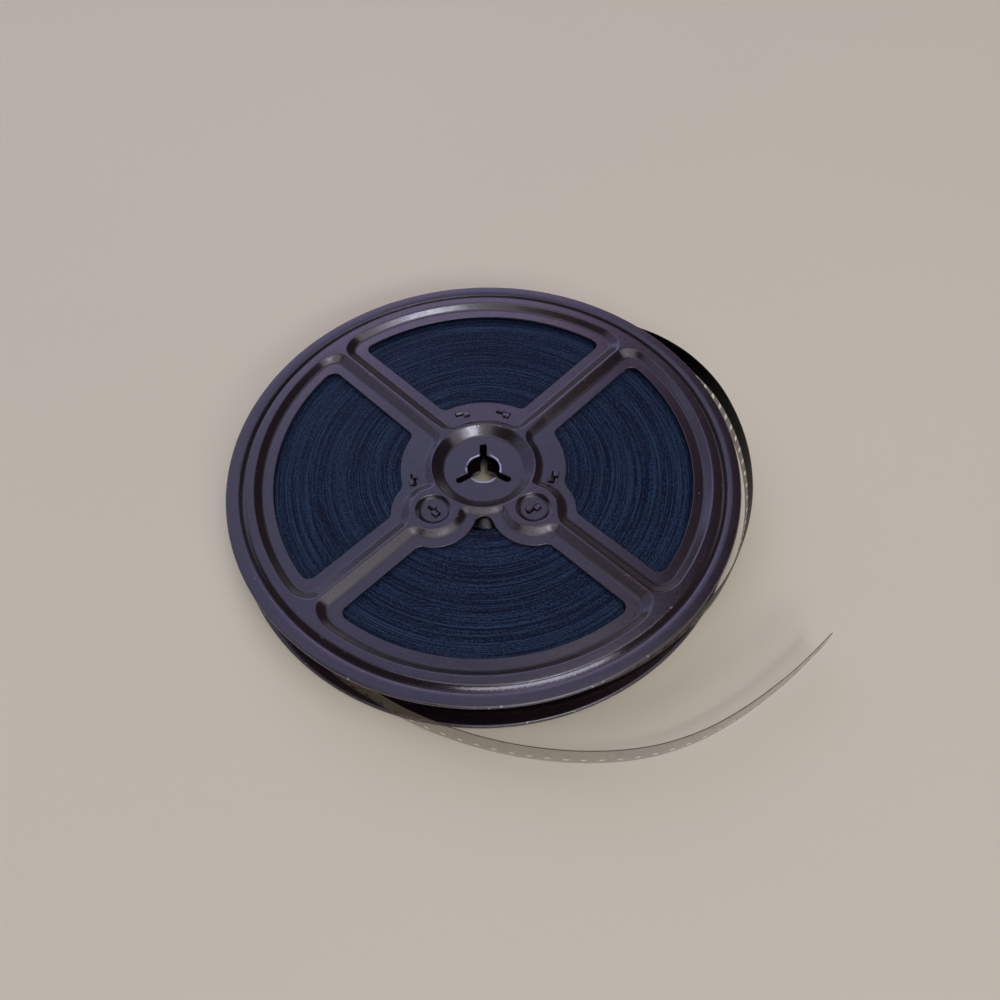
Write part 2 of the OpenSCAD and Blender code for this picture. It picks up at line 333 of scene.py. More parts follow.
flange = {  # one pressing, used twice; heights are from the middle of its rim
    "plate": -1.45,
    "lip": -0.72,
    "disc": -2.5,
    "discR": 10.1,
    "discWall": 2.8,  # how far out its wall would reach the boss's height
    "crests": ((12.7, -0.75), (57.6, 0.6)),  # radius and height of the boss and of the ridge
    "bossFoot": 14.65,
    "ridgeFoot": 54.75,
    "ridgeTop": 58.65,
    "groove": (60.0, -0.48),  # radius and height of the crease inside the folded hem
    "steep": 0.737,  # rise of the ridge's flank for each millimetre in plan
    "gentle": 0.64,  # that of the boss, ribs and pads, as a share of it
    "bends": {  # half the width of each bend, in plan
        "foot": 0.26, "plate": 1.2, "lip": 0.8, "boss": 2.0, "ridge": 1.0,
        "ridgeTop": 0.3, "groove": 0.14, "dimple": 0.2, "disc": 0.28,
    },
    "blends": {"crest": 0.14, "dimple": 0.1},  # two faces this near in height run together
    "ribHalf": (2.5, 2.7),  # half a rib's width at its foot, by the hub and by the rim
    "ribRounds": (0.9, 3.0),  # rounds where the ribs meet the boss and the ridge
    "ribRoundsAt": (20, 44),
    "ribOff": -50.0,  # stands for a rib on the far side of the axle
    "sheet": 0.5,
    "rimR": 63.5,
    "hemR": 60.12,
    "hemRise": 0.06,  # the hem leans in towards the axle
    "hem": [  # its section: distance from its edge, height over the groove, wear and painted shade (darkest by the groove)
        (-0.03, 0.02, 0, 1), (0, 0.10, 0.1, 1), (0, 0.34, 0.3, 0.8), (0.05, 0.45, 0.8, 0.1),
        (0.16, 0.5, 0.4, 0), (1.4, 0.57, 0.05, 0),
    ],
    "fold": (0.2, 0.2),  # how far in from it the flat starts, and the wear there
    "foldWear": (0.4, 0.7, 1, 1, 1, 1, 1, 1, 1, 1, 1, 0.8, 0.5),  # round it, in even steps
    "hemUnder": (1.4, 0),  # where the hem's underside ends, and the wear there
    "around": 720,  # points round the rim
    "spokes": (45, 135, 225, 315),
    "halfSpoke": 5.5,
    "windowR": 52.1,
    "cornerR": 2.2,
    "footR": 2.0,
    "plateR": 20.8,
    "lobeR": 10.5,
    "lobeAt": (227.5, 312.5),
    "padR": 7.9,
    "padRound": 0.5,
    "dimple": (3.3, 4.25),  # radius at its floor and at its mouth
    "dimpleOver": 0.12,  # its mouth is taken this far above the boss
    "notchR": 2.2,
    "coreR": 17.8,
    "slot": (0.9, 3.8),
    "slotCorner": 0.2,
    "keyways": (90, 210, 330),
    "tabSpread": 17.5,
    "spindleR": 4.05,
    "keyW": 1.7,
    "keyTip": 7.8,
    "keyMouth": (0.12, 0.1, 1.6),  # a keyway's corners: start and end of its sides, and degrees of the bore
    "inset": 0.17,  # where the rounding of a cut edge starts
    "edge": [(0.06, 0.05, 0.7), (0.0, 0.16, 1.0)],  # that rounding: inset, drop and wear
    "steps": {  # between the points of outlines
        "edge": 0.45, "round": 0.3, "key": 0.3, "keyTip": 0.2, "spindle": 0.25, "slot": 0.4, "slotRound": 0.1,
    },
    "mesh": {  # points of the pressed face
        "near": 16.5, "far": 51.2,  # rings lie inside the one and outside the other
        "innerR": 4.6, "gap": 0.26, "perRing": 12,
        "turn": 0.25, "fineTurn": 0.5, "coarseTurn": 1.25, "fineWithin": 8,  # degrees
        "alongSpoke": 0.7, "spokeRows": 13, "offSpoke": 3.6,
        "lobeStep": 0.27, "lobeR": 8.6, "offLobe": 8.7, "coarseStep": 1.7, "half": 32,
        "clear": 0.2,  # from the points of outlines
    },
    "upperZ": 13.0,
    "lowerZ": 0.6,
    "bareR": 4.6,  # the enamel is worn off round the spindle hole
    "enamel": ((0.013, 0.0068, 0.0083, 1), (0.021, 0.0090, 0.0100, 1)),
    "dull": (0.004, 0.0025, 0.003, 1),
    # painted shade: the colour that hollow creases and the hem's groove are darkened towards
    "creaseShade": (0.004, 0.003, 0.003, 1),
    "thin": (0.16, 0.125, 0.14, 1),
    "chip": (0.40, 0.37, 0.38, 1),
    "steel": (0.50, 0.50, 0.52, 1),
}
lobes = [flange["coreR"] * direction(a) for a in flange["lobeAt"]]
tabAngles = [a + s * flange["tabSpread"] for a in flange["keyways"] for s in (-1, 1)]
outlineSteps = flange["steps"]


def bend(x, w):  # a ramp from 0 that starts to rise softly, over 2 w
    return np.where(x > w, x, np.where(x < -w, 0.0, (x + w) ** 2 / (4 * w)))


def higher(a, b, soft):
    return np.maximum(a, b) + np.maximum(soft - np.abs(a - b), 0) ** 2 / (4 * soft)


def lower(a, b, soft):
    return -higher(-a, -b, soft)


def rounded(a, b, r):  # two plan distances joined, with a round of radius r in the corner
    return np.where((a > -r) | (b > -r), np.hypot(np.maximum(a + r, 0), np.maximum(b + r, 0)) - r,
                    np.maximum(a, b))


def pressed(x, y):  # height of a flange's outer face
    f, w, blends, r = flange, flange["bends"], flange["blends"], np.hypot(x, y)
    plate, window = f["plateR"], f["windowR"]
    flare = (f["lip"] - f["plate"]) / (window - plate)
    base = f["plate"] + flare * (bend(r - plate, w["plate"]) - bend(r - window, w["lip"]))
    raised = np.maximum(f["gentle"] * (f["bossFoot"] - r), r - f["ridgeFoot"])  # above 0 inside raised parts
    corner = np.interp(r, f["ribRoundsAt"], f["ribRounds"])
    for angle in f["spokes"]:
        c, s = direction(angle)
        u, v = x * c + y * s, np.abs(y * c - x * s)
        rib = np.where(u > 0, np.interp(u, (plate, window), f["ribHalf"]) - v, f["ribOff"])
        raised = rounded(raised, f["gentle"] * rib, corner)
    away = [np.hypot(x - lobe[0], y - lobe[1]) for lobe in lobes]
    for d in away:
        raised = rounded(raised, f["gentle"] * (f["padR"] - d), f["padRound"])
    (bossR, bossZ), (ridgeR, ridgeZ) = f["crests"]
    grooveR, grooveZ = f["groove"]
    climb, fall = (ridgeZ - bossZ) / (ridgeR - bossR), (ridgeZ - grooveZ) / (grooveR - f["ridgeTop"])
    top = bossZ + climb * (bend(r - bossR, w["boss"]) - bend(r - ridgeR, w["ridge"]))
    top = top - fall * (bend(r - f["ridgeTop"], w["ridgeTop"]) - bend(r - grooveR, w["groove"]))
    z = lower(base + f["steep"] * bend(raised, w["foot"]), top, blends["crest"])
    deep, mouth = f["dimple"]
    slope = (bossZ + f["dimpleOver"] - f["plate"]) / (mouth - deep)
    for d in away:
        dent = f["plate"] + slope * bend(d - deep, w["dimple"])
        z = np.where(d < f["padR"], lower(z, dent, blends["dimple"]), z)
    disc = f["disc"] + (bossZ - f["disc"]) / f["discWall"] * bend(r - f["discR"], w["disc"])
    return np.where(r < f["bossFoot"], lower(z, disc, blends["crest"]), z)


def pressedNormal(x, y, d=0.03):
    n = np.stack(((pressed(x - d, y) - pressed(x + d, y)) / (2 * d),
                  (pressed(x, y - d) - pressed(x, y + d)) / (2 * d), np.ones_like(x)), 1)
    return n / np.linalg.norm(n, axis=1)[:, None]


def curvature(x, y, d=0.3):  # above 0 in a hollow crease, below 0 on a crest
    around = pressed(x + d, y) + pressed(x - d, y) + pressed(x, y + d) + pressed(x, y - d)
    return (around - 4 * pressed(x, y)) / d ** 2


def arc(centre, start, end, left, step):  # from start up to end, turning left or right
    centre, start, end = np.array(centre), np.array(start), np.array(end)
    a = math.atan2(*(start - centre)[::-1])
    b = math.atan2(*(end - centre)[::-1])
    sweep = (b - a) % math.tau if left else -((a - b) % math.tau)
    radius = np.linalg.norm(start - centre)
    count = max(3, math.ceil(abs(sweep) * radius / step))
    return [centre + radius * np.array((math.cos(t), math.sin(t)))
            for t in a + sweep * np.arange(count) / count]


def straight(start, end, step):  # from start up to end
    start, end = np.array(start), np.array(end)
    count = max(2, math.ceil(np.linalg.norm(end - start) / step))
    return [start + (end - start) * t for t in np.arange(count) / count]


def towards(a, b, distance):
    return np.array(a) + distance * (b - np.array(a)) / np.linalg.norm(b - np.array(a))


def meeting(a, ra, b, rb, side):  # a point at distances ra from a and rb from b
    d = np.linalg.norm(b - a)
    along = (d * d + ra * ra - rb * rb) / (2 * d)
    e = (b - a) / d
    return a + along * e + side * math.sqrt(ra * ra - along * along) * np.array((-e[1], e[0]))


def footRound(angle, c, cr, side):  # its centre, and where it meets the spoke and the hub
    c, r = turned(c, -angle), flange["footR"]
    v = side * (flange["halfSpoke"] + r)
    m = np.array((c[0] + math.sqrt((cr + r) ** 2 - (v - c[1]) ** 2), v))
    meets = [m, np.array((m[0], side * flange["halfSpoke"])), towards(c, m, cr)]
    return [turned(p, angle) for p in meets]


def cornerRound(angle, side):  # its centre, and where it meets the spoke and the lip
    r, outer = flange["cornerR"], flange["windowR"]
    v = side * (flange["halfSpoke"] + r)
    m = np.array((math.sqrt((outer - r) ** 2 - v * v), v))
    meets = [m, np.array((m[0], side * flange["halfSpoke"])), towards((0, 0), m, outer)]
    return [turned(p, angle) for p in meets]


def lobeRound(k):  # its centre, and where it meets the hub and a lobe
    r, hub = 2 * flange["footR"], np.zeros(2)
    m = meeting(hub, flange["plateR"] + r, lobes[k], flange["lobeR"] + r, (-1, 1)[k])
    return [m, towards(hub, m, flange["plateR"]), towards(lobes[k], m, flange["lobeR"])]


def notchRound():  # its centre, and where it meets the two lobes
    drop = math.radians(270 - flange["lobeAt"][0])
    reach = flange["lobeR"] + flange["notchR"]
    half = flange["coreR"] * math.sin(drop)
    m = np.array((0, -flange["coreR"] * math.cos(drop) - math.sqrt(reach ** 2 - half ** 2)))
    return [m, towards(lobes[0], m, flange["lobeR"]), towards(lobes[1], m, flange["lobeR"])]


def spokeEdge(spoke, c, cr, side):  # in along a spoke's near edge, or out along its far edge
    first, last = cornerRound(spoke, side), footRound(spoke, c, cr, side)
    if side > 0:
        first, last = last, first
    line = (arc(first[0], first[2], first[1], True, outlineSteps["round"])
            + straight(first[1], last[1], outlineSteps["edge"])
            + arc(last[0], last[1], last[2], True, outlineSteps["round"]))
    return line, first[2], last[2]


def windowLoops():  # each runs to the left round its opening
    hub, plate, lobeR = np.zeros(2), flange["plateR"], flange["lobeR"]
    leftLobe, notch = lobeRound(0), notchRound()
    shapes = [  # spokes before and after, hub rounds met, and the rounds that link those
        (315, 45, [(hub, plate), (lobes[1], lobeR)], [lobeRound(1)]),
        (45, 135, [(hub, plate)], []),
        (135, 225, [(lobes[0], lobeR), (hub, plate)], [leftLobe[:1] + leftLobe[:0:-1]]),
        (225, 315, [(lobes[1], lobeR), (lobes[0], lobeR)], [notch[:1] + notch[:0:-1]]),
    ]
    loops = []
    for before, after, hubs, links in shapes:
        loop, rimEnd, at = spokeEdge(after, *hubs[0], -1)
        outward, last, rimStart = spokeEdge(before, *hubs[-1], 1)
        for (c, cr), link in zip(hubs, links + [None]):
            loop += arc(c, at, last if link is None else link[1], False, outlineSteps["edge"])
            if link is not None:
                loop += arc(*link, True, outlineSteps["round"])
                at = link[2]
        loop += outward + arc(hub, rimStart, rimEnd, True, outlineSteps["edge"])
        loops.append(np.array(loop))
    return loops


def spindleLoop():
    r, half, tip = flange["spindleR"], flange["keyW"] / 2, flange["keyTip"] - flange["keyW"] / 2
    mouthStart, mouthEnd, ease = flange["keyMouth"]
    side = math.sqrt(r * r - half * half)
    gap = math.degrees(math.asin(half / r)) + ease
    way = (straight((side + mouthStart, -half), (tip, -half), outlineSteps["key"])
           + arc((tip, 0), (tip, -half), (tip, half), True, outlineSteps["keyTip"])
           + straight((tip, half), (side + mouthEnd, half), outlineSteps["key"]))
    loop = []
    for k, angle in enumerate(flange["keyways"]):
        following = flange["keyways"][(k + 1) % 3]
        loop += [turned(p, angle) for p in way]
        start, end = r * direction(angle + gap), r * direction(following - gap)
        loop += arc((0, 0), start, end, True, outlineSteps["spindle"])
    return np.array(loop)


def slotLoops():
    width, length = flange["slot"]
    r = flange["slotCorner"]
    corners = [np.array((flange["coreR"] + x * (width / 2 - r), y * (length / 2 - r)))
               for x, y in ((1, -1), (1, 1), (-1, 1), (-1, -1))]
    loop = []
    for k, c in enumerate(corners):
        start, end = r * direction(90 * k - 90), r * direction(90 * k)
        loop += arc(c, c + start, c + end, True, outlineSteps["slotRound"])
        loop += straight(c + end, corners[(k + 1) % 4] + end, outlineSteps["slot"])
    return [np.array([turned(p, angle) for p in loop]) for angle in tabAngles]


def voidSide(loop):  # unit normals towards the opening
    t = np.roll(loop, -1, 0) - np.roll(loop, 1, 0)
    n = np.stack((-t[:, 1], t[:, 0]), 1)
    return n / np.linalg.norm(n, axis=1)[:, None]


def within(points, loop):  # even and odd crossings
    x, y = points[:, 0], points[:, 1]
    odd = np.zeros(len(points), bool)
    for (x0, y0), (x1, y1) in zip(loop, np.roll(loop, -1, 0)):
        if y0 != y1:
            odd ^= ((y0 > y) != (y1 > y)) & (x < (x1 - x0) * (y - y0) / (y1 - y0) + x0)
    return odd


def ringPoints(r, turns):
    return np.stack((r * np.cos(turns), r * np.sin(turns)), 1)


def netPoints(xs, ys):
    return np.stack([k.ravel() for k in np.meshgrid(xs, ys)], 1)


def midway(spots, offLobes):  # those between the inner and the outer rings
    r = np.hypot(*spots.T)
    keep = (r > flange["mesh"]["near"]) & (r < flange["mesh"]["far"])
    if offLobes:
        for lobe in lobes:
            keep &= np.hypot(*(spots - lobe).T) > flange["mesh"]["offLobe"]
    return spots[keep]


def layout(ringR):  # rings by the boss and the ridge, rows along the spokes, nets on the lobes and elsewhere
    m = flange["mesh"]
    near, far, gap = m["near"], m["far"], m["gap"]
    groups = []
    for r in np.arange(m["innerR"], near, gap):
        count = int(r * m["perRing"])
        groups.append(ringPoints(r, math.tau * (np.arange(count) + 0.5) / count))
    turns = np.arange(0, 360, m["turn"])
    close = np.abs((turns % 90) - 45) < m["fineWithin"]  # finer where the ribs run out into the ridge
    fine, coarse = turns % m["fineTurn"] == 0, turns % m["coarseTurn"] == 0
    turns = np.radians(turns[(close & fine) | (~close & coarse)])
    for r in np.arange(far + 0.1, ringR - 0.15, gap):
        groups.append(ringPoints(r, turns))
    rows = np.arange(-m["spokeRows"], m["spokeRows"] + 1) * gap
    spots = netPoints(np.arange(near - 1, far + 1, m["alongSpoke"]), rows)
    for angle in flange["spokes"]:
        groups.append(midway(turned(spots.T, angle).T, True))
    line = np.arange(-m["half"], m["half"] + 1)
    spots = netPoints(line * m["lobeStep"], line * m["lobeStep"])
    for lobe in lobes:
        groups.append(midway(spots[np.hypot(*spots.T) < m["lobeR"]] + lobe, False))
    spots = midway(netPoints(line * m["coarseStep"], line * m["coarseStep"]), True)
    for angle in flange["spokes"][:2]:
        c, s = direction(angle)
        spots = spots[np.abs(spots[:, 1] * c - spots[:, 0] * s) > m["offSpoke"]]
    return np.concatenate(groups + [spots])


def pressedPlan(seams, rim, ringR):  # points in plan, where each outline's points went, and triangles
    grid = layout(ringR)
    for seam in seams:
        grid = grid[~within(grid, seam)]
    fixed = np.concatenate(seams + [rim])
    tree = kdtree.KDTree(len(fixed))
    for k, p in enumerate(fixed):
        tree.insert((p[0], p[1], 0), k)
    tree.balance()
    grid = np.array([p for p in grid if tree.find((p[0], p[1], 0))[2] > flange["mesh"]["clear"]])
    edges, first = [], 0
    for seam in seams + [rim]:
        count = len(seam)
        edges += [(first + k, first + (k + 1) % count) for k in range(count)]
        first += count
    plan = np.concatenate((fixed, grid))
    made = delaunay_2d_cdt([Vector(p) for p in plan], edges, [], 0, 1e-6)
    flat = np.array([tuple(p) for p in made[0]])
    place = {source: k for k, sources in enumerate(made[3]) for source in sources}
    triangles = np.array(made[2])
    middle = flat[triangles].mean(1)
    keep = np.hypot(*middle.T) < ringR
    for seam in seams:
        keep &= ~within(middle, seam)
    triangles = triangles[keep]
    ab, ac = (flat[triangles[:, k]] - flat[triangles[:, 0]] for k in (1, 2))
    flip = ab[:, 0] * ac[:, 1] - ab[:, 1] * ac[:, 0] < 0
    triangles[flip] = triangles[flip][:, ::-1]
    return flat, place, triangles


def hemSection():  # radius, height, wear and painted shade, from the groove over the hem and back under it
    sheet, hem, r = flange["sheet"], flange["hemR"], flange["rimR"] - flange["sheet"]
    (fold, foldWear), (under, underWear) = flange["fold"], flange["hemUnder"]
    section = [(hem + a, b, worn, shadeAmount) for a, b, worn, shadeAmount in flange["hem"]]
    section.append((r - fold, sheet, foldWear, 0))
    for t, worn in zip(np.linspace(0, math.pi, len(flange["foldWear"])), flange["foldWear"]):
        section.append((r + sheet * math.sin(t), sheet * math.cos(t), worn, 0))
    section += [(r - fold, -sheet, foldWear, 0), (hem + under, -sheet, underWear, 0)]
    grooveR, grooveZ = flange["groove"]
    return [(a, b + grooveZ + flange["hemRise"] * (a - grooveR), worn, shadeAmount) for a, b, worn, shadeAmount in section]


def pressingMesh():
    loops = windowLoops() + [spindleLoop()] + slotLoops()
    sides = [voidSide(loop) for loop in loops]
    sheet, ringR, around = flange["sheet"], flange["groove"][0], flange["around"]
    rim = np.stack([ringR * direction(360 * k / around) for k in range(around)])
    seams = [loop - flange["inset"] * n for loop, n in zip(loops, sides)]
    flat, place, triangles = pressedPlan(seams, rim, ringR)
    n = len(flat)
    top, up = np.column_stack((flat, pressed(*flat.T))), pressedNormal(*flat.T)
    points, normals = [top, top - (0, 0, sheet)], [up, -up]
    faces = triangles.tolist() + (triangles[:, ::-1] + n).tolist()
    crease = curvature(*flat.T)
    crest = 0.55 * np.clip(-crease / 0.6 - 0.15, 0, 1)  # most on the sharpest bends
    values = {
        "wear": [crest, crest * 0.3],
        # painted shade: strongest in the hollow creases, where shade falls
        "creaseShade": [np.clip(crease / 0.9 - 0.1, 0, 1), np.zeros(n)],
        "outer": [np.ones(n), np.zeros(n)],
    }

    def addRows(rows, above, worn, shadeAmount):  # strips from the outer face, round an edge, to the inner face
        ids = [above]
        for row, amount, dark in zip(rows, worn, shadeAmount):
            first, count = sum(len(p) for p in points), len(row)
            ids.append(list(range(first, first + count)))
            points.append(row)
            normals.append(np.zeros_like(row))
            for key, value in (("wear", amount), ("creaseShade", dark), ("outer", 1.0)):
                values[key].append(np.full(count, value))
        ids.append([k + n for k in above])
        count = len(above)
        for p, q in zip(ids, ids[1:]):
            faces.extend([p[k], p[(k + 1) % count], q[(k + 1) % count], q[k]] for k in range(count))

    first = 0
    edge = flange["edge"] + [(inset, sheet - drop, worn) for inset, drop, worn in flange["edge"][::-1]]
    for loop, side in zip(loops, sides):
        rows = []
        for inset, drop, _ in edge:
            spot = loop - inset * side
            rows.append(np.column_stack((spot, pressed(*spot.T) - drop)))
        above = [place[first + k] for k in range(len(loop))]
        addRows(rows, above, [worn for _, _, worn in edge], [0] * len(edge))
        first += len(loop)
    radii, heights, worn, shadeAmount = zip(*hemSection())
    turn = np.stack([direction(-360 * (k + 1) / around) for k in range(around)])
    rows = [np.column_stack((turn * radius, np.full(around, z))) for radius, z in zip(radii, heights)]
    addRows(rows, [place[first + k] for k in range(around)][::-1], worn, shadeAmount)
    amounts = {key: np.concatenate(value) for key, value in values.items()}
    return np.concatenate(points), np.concatenate(normals), faces, amounts


def addFlange(name, node, made, z, upright, finish):
    points, normals, faces, values = made
    way = 1 if upright else -1
    if not upright:
        faces = [face[::-1] for face in faces]
    piece = newPiece(name, points * (1, 1, way) + (0, 0, z), faces, finish)
    piece.data.normals_split_custom_set_from_vertices((normals * (1, 1, way)).tolist())
    for key, amounts in values.items():
        setValues(piece, key, amounts)
    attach(piece, "reel")
    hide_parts(node)
    print(name + ":", len(points), "points,", len(faces), "faces")


def enamelFinish(name, bareR):
    material, shader, start = newFinish(name)
    place = start.place()
    x, y, _ = place.parts()
    r = (x * x + y * y) ** 0.5
    wear, creaseShade, outer = (start.attribute(key) for key in ("wear", "creaseShade", "outer"))
    broad, fine, peel = place.noise(38, 2), place.noise(420, 4, 0.6), place.noise(2300, 2)
    colour = broad.between(0.40, 0.64).tint(*flange["enamel"])
    colour = (fine.between(0.35, 0.75) * 0.35).tint(colour, flange["dull"])
    # painted shade in hollow creases and the hem's groove; the same mask also makes them rougher and less
    # glossy
    colour = (creaseShade * (0.45 + 0.5 * fine)).tint(colour, flange["creaseShade"])
    thin = wear.between(0.4, 1.0) * (0.1 + 0.4 * fine)  # enamel is thinner and paler along edges
    colour = thin.tint(colour, flange["thin"])
    chips = wear.between(0.35, 0.95) * place.noise(950, 3).between(0.655, 0.71)
    specks = place.noise(620, 1).between(0.80, 0.82)
    ragged = place.noise(520, 4, 0.65)
    bare = (r + 1.3 * mm * (ragged - 0.5)).between(bareR * mm, (bareR - 0.16) * mm) * outer
    bare = bare * place.noise(260, 3).between(0.30, 0.46)
    colour = (chips + specks * 0.5).tint(colour, flange["chip"])
    gloss = place.noise(1500, 4, 0.7).between(0.3, 0.7)  # the polish is left in patches
    height = peel + 0.5 * place.noise(6500, 1) + 2.0 * fine * (1 - bare)
    start.feed(shader, {
        "Base Color": bare.tint(colour, flange["steel"]),
        "Metallic": 0.85 * bare + 0.4 * chips,
        "Coat Weight": 0.4 * gloss * (1 - 0.7 * creaseShade) * (1 - bare),
        "Coat Roughness": 0.17,
        "Roughness": 0.08 + 0.15 * fine + 0.06 * broad + 0.1 * chips + 0.25 * creaseShade,
        "Normal": start.bump(height, 0.013 * mm, 0.9),
        "IOR": 1.55,
        "Specular IOR Level": 0.78,
    })
    return material


pressing = pressingMesh()
flangeEnamel = enamelFinish("flangeEnamel", flange["bareR"])
addFlange("upperFlange", "upper_flange", pressing, flange["upperZ"], True, flangeEnamel)
addFlange("lowerFlange", "lower_flange", pressing, flange["lowerZ"], False, flangeEnamel)


core = {  # a rolled strip with split tabs that are bent over outside the flanges
    "middleR": 17.8,
    "sheet": 0.5,
    "low": 2.6,
    "high": 11.0,
    "gap": 10.0,  # where the film's inner end goes in
    "gapAt": 270,
    "rows": 181,
    "tabW": 3.4,
    "tabRound": (0.06, 0.04),  # at a tab's sides: inset, and the share that the section shrinks by
    "root": 0.6,  # how far the tabs reach into the band
    "split": 0.1,  # half the cut between a tab's two ears
    "bendR": 0.12,
    "ear": 0.95,
    "earTip": (0.1, 0.12, 0.02),  # rounding at its end: inset and drop, and its lower edge's lift
    "seat": 11.6,  # underside of the ears
    "middleZ": 6.8,
    "wear": (0.55, 0.1),  # of the ears and of the band
    "sharp": 45,  # degrees
    "bareR": 0.0,  # no bare steel
}


def earSection(band, hand):  # from the band up through the slot, over to one side, and back below
    half, sheet, seat, r = band["sheet"] / 2, band["sheet"], band["seat"], band["bendR"]
    root, end = band["high"] - band["root"], half + band["ear"]
    inset, drop, lift = band["earTip"]
    outer = [(half * -hand, root)]
    outer += [(hand * (-half + (r + sheet) * (1 - math.cos(t))), seat - r + (r + sheet) * math.sin(t))
              for t in np.radians(np.arange(0, 91, 15))]
    outer += [(hand * (end - inset), seat + sheet), (hand * end, seat + sheet - drop)]
    inner = [(hand * end, seat + lift)]
    inner += [(hand * (half + r * (1 - math.cos(t))), seat - r + r * math.sin(t))
              for t in np.radians(np.arange(90, -1, -30))]
    return outer + inner + [(half * hand, root)]


def addCoreBand(band, finish):
    points, faces = [], []

    def addPrism(rows):  # quads between rows of points, closed round and at both ends
        first, count = len(points), len(rows[0])
        for row in rows:
            points.extend(row)
        for k in range(len(rows) - 1):
            for i in range(count):
                a, b = first + k * count + i, first + k * count + (i + 1) % count
                faces.append([a, b, b + count, a + count])
        faces.append(list(range(first, first + count))[::-1])
        faces.append(list(range(first + (len(rows) - 1) * count, first + len(rows) * count)))

    half, r, low, high = band["sheet"] / 2, band["middleR"], band["low"], band["high"]
    swing = math.degrees(math.asin(band["gap"] / 2 / r))
    rows = []
    for angle in np.linspace(band["gapAt"] + swing, band["gapAt"] + 360 - swing, band["rows"]):
        c, s = direction(angle)
        section = ((-half, low), (half, low), (half, high), (-half, high))
        rows.append([((r + a) * c, (r + a) * s, z) for a, z in section])
    addPrism(rows)
    inset, shrink = band["tabRound"]
    edge, middle = band["tabW"] / 2, band["middleZ"]
    for way in (1, -1):
        for angle in tabAngles:
            for hand in (1, -1):  # one ear goes out, the other in
                rows = []
                for v, scale in ((band["split"], 1), (edge - inset, 1), (edge, 1 - shrink)):
                    row = []
                    for a, h in earSection(band, hand):
                        p = turned((r + a * scale, hand * v), angle)
                        row.append((p[0], p[1], h if way > 0 else 2 * middle - h))
                    rows.append(row)
                addPrism(rows)
    piece = newPiece("coreBand", points, faces, finish)
    faceOutwards(piece)
    piece.data.set_sharp_from_angle(angle=math.radians(band["sharp"]))
    z = np.array(points)[:, 2]
    setValues(piece, "wear", np.where(np.abs(z - middle) > band["seat"] - middle, *band["wear"]))
    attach(piece, "reel")
    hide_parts("core_band")
    print("core band:", len(tabAngles) * 2, "tabs")


addCoreBand(core, enamelFinish("coreEnamel", core["bareR"]))


woundFilm = {  # one strip from the core to the outside, turn on turn
    "turns": 158,
    "innerR": 18.35,
    "outerR": 57.0,
    "startAt": 278,
    "steps": 144,  # for each turn
    "bottom": 2.8,
    "width": 8.0,
    "fill": 0.84,  # of the pitch that is film
    "tongue": 30,  # degrees of the inner end that goes in through the core's gap
    "tongueSteps": 14,
    "tongueDrop": 1.9,  # how far in it goes
    "seed": 7,
    "knots": 9,  # for each turn, where its edge rises or falls
    "strays": 0.10,  # share of turns that stand out
    "strayBy": (0.6, 1.6),
    "shifts": (0.0, 0.02, 0.012, 0.03),  # height: middle, and by knot, by group of turns and by stray
    "mostShift": 0.16,
    "tones": (0.42, 0.22, 0.05, 0.35),  # brightness, in the same way; it sets where the edges get their painted highlight
    "sharp": 50,  # degrees
    # the edges' own dark colour, and the lighter colour of their painted highlight
    "edges": ((0.0012, 0.0048, 0.0185, 1), (0.028, 0.057, 0.103, 1)),
    "paleSpecks": (0.08, 0.12, 0.17, 1),
    "face": ((0.006, 0.006, 0.008, 1), (0.030, 0.028, 0.026, 1)),  # black, and below it clear
    "faceGrain": (0.018, 0.02, 0.026, 1),
    "margin": (5.75, 5.65),  # heights where the black starts
}


